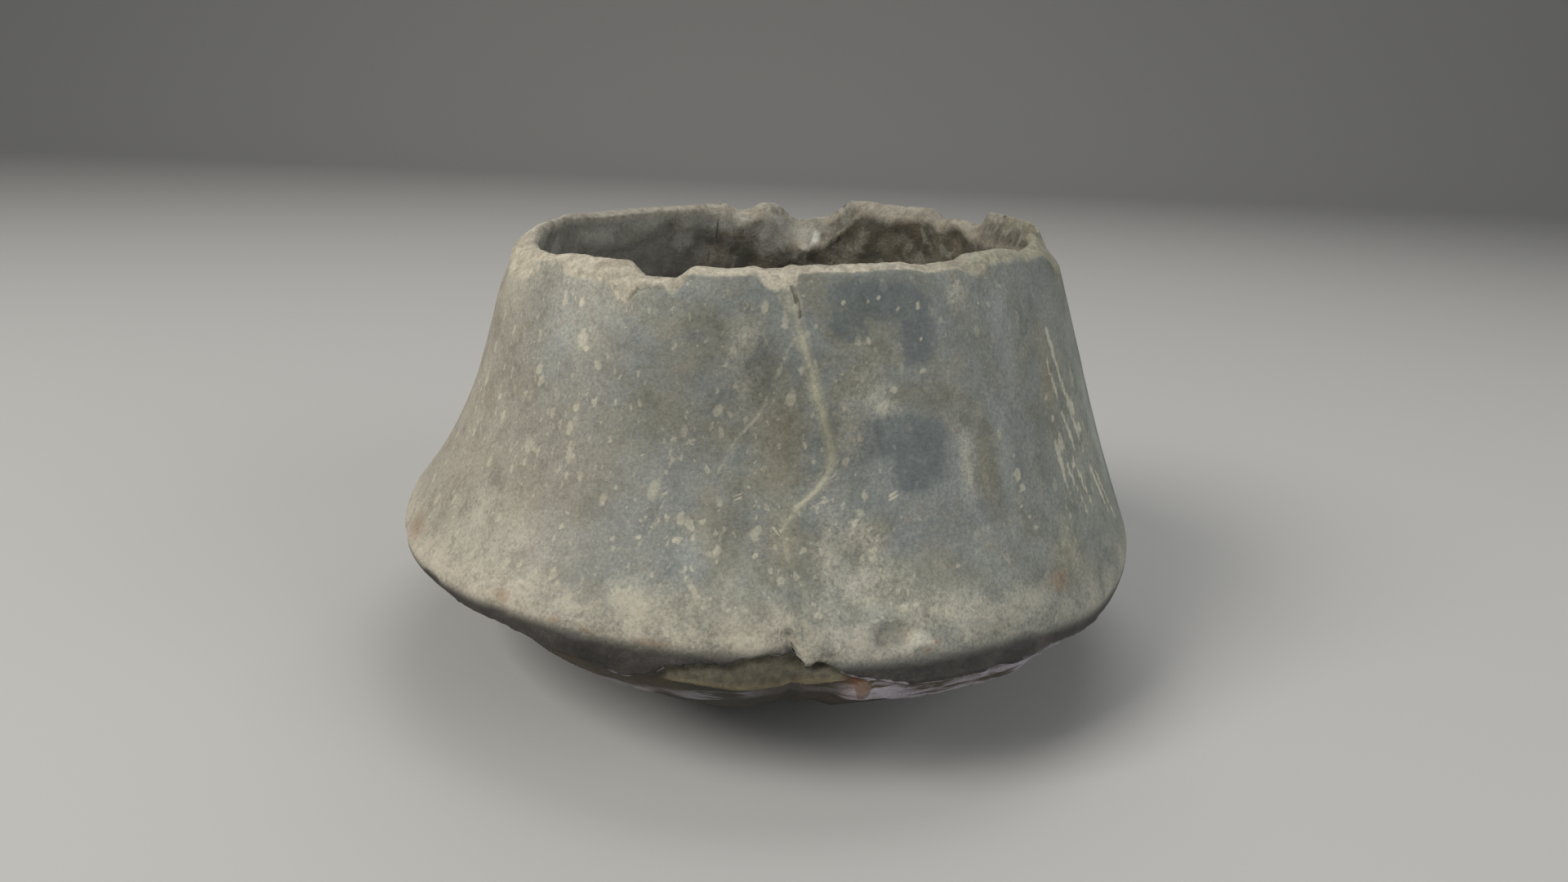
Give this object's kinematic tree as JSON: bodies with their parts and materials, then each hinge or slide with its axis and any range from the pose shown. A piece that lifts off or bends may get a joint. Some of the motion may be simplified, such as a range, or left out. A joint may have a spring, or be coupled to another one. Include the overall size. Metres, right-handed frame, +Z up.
{
  "type": "carinated vase",
  "caption": "Hand-built grey burnished earthenware vase, sharply carinated low on the body, with a conical upper wall, a broken rim and a shallow rounded base.",
  "frame": {"origin": "middle of the worn flat on the underside, on the plane the vase stands on", "axes": "+Z up, through the middle of the underside; -Y is the front, with the glued joint; +X is to the right"},
  "size_m": [0.1794, 0.1802, 0.102],
  "materials": {
    "burnished_clay": "worn, weathered burnish"
  },
  "bodies": {
    "root": {"vase": "burnished_clay"}
  },
  "joints": []
}
